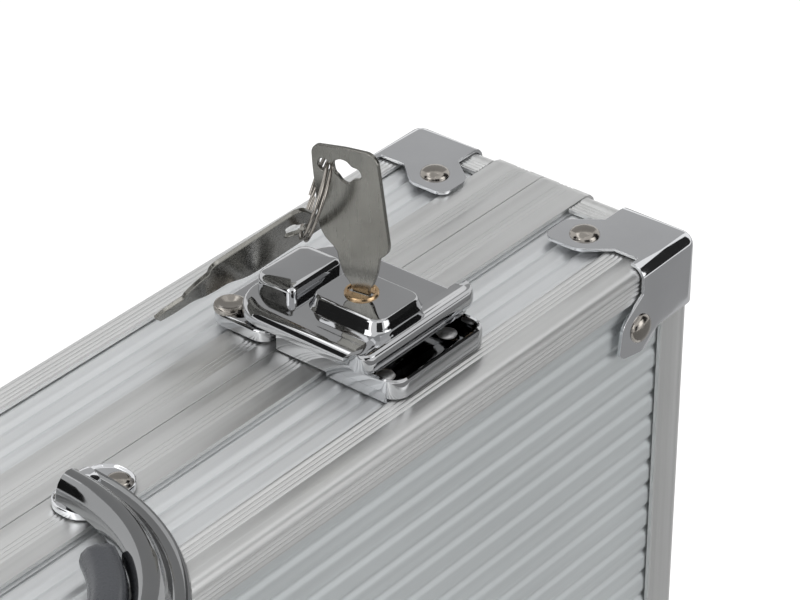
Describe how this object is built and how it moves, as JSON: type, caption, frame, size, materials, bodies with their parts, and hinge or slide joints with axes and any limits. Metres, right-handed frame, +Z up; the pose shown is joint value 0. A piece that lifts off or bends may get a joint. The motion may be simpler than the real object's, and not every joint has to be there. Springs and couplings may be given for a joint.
{
  "type": "poker chip case",
  "caption": "Ribbed aluminium poker chip case with a hinged lid, keyed latches, a fold-flat handle, chromed corners and a foam chip tray.",
  "frame": {"origin": "on the standing surface under the four rubber feet, midway along the case and midway across its outline with the handle folded", "axes": "+X along the case, +Y from the base half to the lid half, +Z up to the front side with the latches and the handle"},
  "size_m": [0.388, 0.086, 0.2485],
  "materials": {
    "panel": "ribbed anodised sheet, satin",
    "extrusion": "extruded, satin anodised",
    "chrome": "bright plated steel",
    "nickel": "nickel plated steel",
    "brass": "machined",
    "plastic": "black moulded grip",
    "rubber": "black",
    "foam": "dense black foam"
  },
  "bodies": {
    "base": {"base_closure_frame": "extrusion", "base_edge_frame": "extrusion", "base_foot_left": "rubber", "base_foot_right": "rubber", "base_front_left_angle": "extrusion", "base_front_left_cap": "chrome", "base_front_panel": "panel", "base_front_right_angle": "extrusion", "base_front_right_cap": "chrome", "base_hinge_leaf_left": "nickel", "base_hinge_leaf_right": "nickel", "base_left_panel": "panel", "base_main_panel": "panel", "base_rear_left_angle": "extrusion", "base_rear_left_cap": "chrome", "base_rear_panel": "panel", "base_rear_right_angle": "extrusion", "base_rear_right_cap": "chrome", "base_right_panel": "panel", "chip_tray": "foam", "handle_bracket_left": "nickel", "handle_bracket_right": "nickel", "hinge_pin_left": "nickel", "hinge_pin_right": "nickel", "latch_keeper_left": "chrome", "latch_keeper_right": "chrome"},
    "lid": {"latch_hinge_plate_left": "chrome", "latch_hinge_plate_right": "chrome", "lid_closure_frame": "extrusion", "lid_edge_frame": "extrusion", "lid_foot_left": "rubber", "lid_foot_right": "rubber", "lid_front_left_angle": "extrusion", "lid_front_left_cap": "chrome", "lid_front_panel": "panel", "lid_front_right_angle": "extrusion", "lid_front_right_cap": "chrome", "lid_hinge_leaf_left": "nickel", "lid_hinge_leaf_right": "nickel", "lid_left_panel": "panel", "lid_main_panel": "panel", "lid_pad": "foam", "lid_rear_left_angle": "extrusion", "lid_rear_left_cap": "chrome", "lid_rear_panel": "panel", "lid_rear_right_angle": "extrusion", "lid_rear_right_cap": "chrome", "lid_right_panel": "panel"},
    "lever_left": {"latch_lever_left": "chrome", "latch_pin_left": "nickel"},
    "lock_left": {"lock_cylinder_left": "brass"},
    "lever_right": {"latch_lever_right": "chrome", "latch_pin_right": "nickel"},
    "lock_right": {"lock_cylinder_right": "brass"},
    "key": {"key": "nickel"},
    "ring": {"key_ring": "nickel"},
    "spare_key": {"spare_key": "nickel"},
    "handle": {"handle_bail": "chrome", "handle_grip": "plastic"}
  },
  "joints": [
    {"name": "lid_hinge", "type": "hinge", "parent": "base", "child": "lid", "pos_m": [0, 0.0097, 0.004], "axis": [-1, 0, 0], "range_deg": [0, 100]},
    {"name": "handle_swing", "type": "hinge", "parent": "base", "child": "handle", "pos_m": [0, 0.0042, 0.2131], "axis": [-1, 0, 0], "range_deg": [0, 100]},
    {"name": "latch_lever_left", "type": "hinge", "parent": "lid", "child": "lever_left", "pos_m": [-0.125, 0.0185, 0.2147], "axis": [-1, 0, 0], "range_deg": [0, 90]},
    {"name": "lock_turn_left", "type": "hinge", "parent": "lever_left", "child": "lock_left", "pos_m": [-0.125, 0.0005, 0.2194], "axis": [0, 0, 1], "range_deg": [-90, 0]},
    {"name": "latch_lever_right", "type": "hinge", "parent": "lid", "child": "lever_right", "pos_m": [0.125, 0.0185, 0.2147], "axis": [-1, 0, 0], "range_deg": [0, 90]},
    {"name": "lock_turn_right", "type": "hinge", "parent": "lever_right", "child": "lock_right", "pos_m": [0.125, 0.0005, 0.2194], "axis": [0, 0, 1], "range_deg": [-90, 0]},
    {"name": "key_pull", "type": "slide", "parent": "lock_right", "child": "key", "axis": [-0.0191, 0.1204, 0.9925], "range_m": [0, 0.012]},
    {"name": "ring_swing", "type": "hinge", "parent": "key", "child": "ring", "pos_m": [0.12402, 0.0067, 0.24341], "axis": [-1, 0, 0], "range_deg": [-90, 0]},
    {"name": "spare_key_swing", "type": "hinge", "parent": "ring", "child": "spare_key", "pos_m": [0.12282, 0.012, 0.22861], "axis": [-0.2301, 0.6632, -0.7122], "range_deg": [0, 35]}
  ],
  "couplings": [
    {"joint": "ring_swing", "follows": "latch_lever_right", "ratio": -1}
  ]
}
